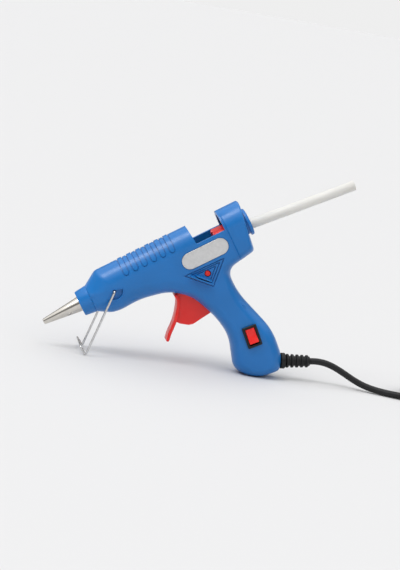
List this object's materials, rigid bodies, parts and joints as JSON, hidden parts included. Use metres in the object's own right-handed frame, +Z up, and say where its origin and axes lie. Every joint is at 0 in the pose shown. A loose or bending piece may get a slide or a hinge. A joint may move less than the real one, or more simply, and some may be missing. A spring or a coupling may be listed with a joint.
{
  "type": "glue gun",
  "caption": "Small blue hot glue gun with trigger-driven stick feed, wire stand, rocker switch, translucent glue stick, and a mains cord folded into a tied hank with its plug.",
  "frame": {"origin": "on the table the gun stands on, under the middle of the gun's own box (cord, hank and plug left out)", "axes": "+X towards the handle, the glue stick's free end and the cord; -X towards the nozzle tip; -Y is the side with the label and the switch; +Z up"},
  "size_m": [0.4011, 0.0432, 0.1462],
  "materials": {
    "blue_plastic": "moulded, satin",
    "red_plastic": "moulded, satin",
    "black_plastic": "moulded",
    "polished_steel": "polished",
    "chromed_wire": "plated",
    "zinc_steel": "zinc plated",
    "cast_aluminium": "as cast",
    "brass": "plain",
    "ceramic": "fired ceramic",
    "silicone": "matt",
    "glue": "translucent, waxy",
    "label_silver": "satin silver",
    "cord_black": "satin sheath",
    "lead_white": "matt sleeving",
    "tie_black": "matt"
  },
  "bodies": {
    "gun": {"clamp_screw_1": "zinc_steel", "clamp_screw_2": "zinc_steel", "cord_clamp": "black_plastic", "cord_end": "cord_black", "cord_hank": "cord_black", "cord_inner": "cord_black", "cord_lead": "cord_black", "cord_tie": "tie_black", "electrode_live": "brass", "electrode_neutral": "brass", "housing_left": "blue_plastic", "housing_right": "blue_plastic", "housing_screw_1": "zinc_steel", "housing_screw_2": "zinc_steel", "housing_screw_3": "zinc_steel", "housing_screw_4": "zinc_steel", "housing_screw_5": "zinc_steel", "inlet_sleeve": "silicone", "label_plate": "label_silver", "lead_live": "lead_white", "lead_neutral": "lead_white", "lead_switched": "lead_white", "melt_chamber": "cast_aluminium", "nose_ring": "blue_plastic", "nozzle": "polished_steel", "plug_body": "black_plastic", "plug_blade_1": "brass", "plug_blade_2": "brass", "ptc_heater": "ceramic", "return_spring": "zinc_steel", "sleeve_clamp": "zinc_steel", "stick_guide": "blue_plastic", "strain_relief": "black_plastic", "switch_bezel": "black_plastic", "switch_terminal_1": "brass", "switch_terminal_2": "brass"},
    "trigger": {"trigger": "red_plastic"},
    "feed_link": {"feed_link": "black_plastic"},
    "carriage": {"feed_carriage": "red_plastic"},
    "stick": {"glue_stick": "glue"},
    "stand": {"stand": "chromed_wire"},
    "rocker": {"switch_rocker": "red_plastic"}
  },
  "joints": [
    {"name": "trigger_pull", "type": "hinge", "parent": "gun", "child": "trigger", "pos_m": [0.00524, 0, 0.06827], "axis": [0, -1, 0], "range_deg": [0, 28], "stiffness_Nm_per_rad": 0.03, "springref_deg": -20.05},
    {"name": "link_turn", "type": "hinge", "parent": "trigger", "child": "feed_link", "pos_m": [0.00002, 0, 0.08173], "axis": [0, 1, 0], "range_deg": [0, 28.5]},
    {"name": "carriage_feed", "type": "slide", "parent": "gun", "child": "carriage", "axis": [-0.8171, 0, -0.5764], "range_m": [0, 0.0071]},
    {"name": "stick_feed", "type": "slide", "parent": "gun", "child": "stick", "axis": [-0.8171, 0, -0.5764], "range_m": [0, 0.0071]},
    {"name": "stand_fold", "type": "hinge", "parent": "gun", "child": "stand", "pos_m": [-0.05622, 0, 0.04646], "axis": [0, -1, 0], "range_deg": [0, 100]},
    {"name": "rocker_tip", "type": "hinge", "parent": "gun", "child": "rocker", "pos_m": [0.04398, -0.0105, 0.02915], "axis": [0.8729, 0, 0.4878], "range_deg": [0, 18]}
  ],
  "couplings": [
    {"joint": "link_turn", "follows": "trigger_pull", "ratio": 1},
    {"joint": "carriage_feed", "follows": "trigger_pull", "m_per_rad": 0.014286},
    {"joint": "stick_feed", "follows": "trigger_pull", "m_per_rad": 0.014286}
  ]
}
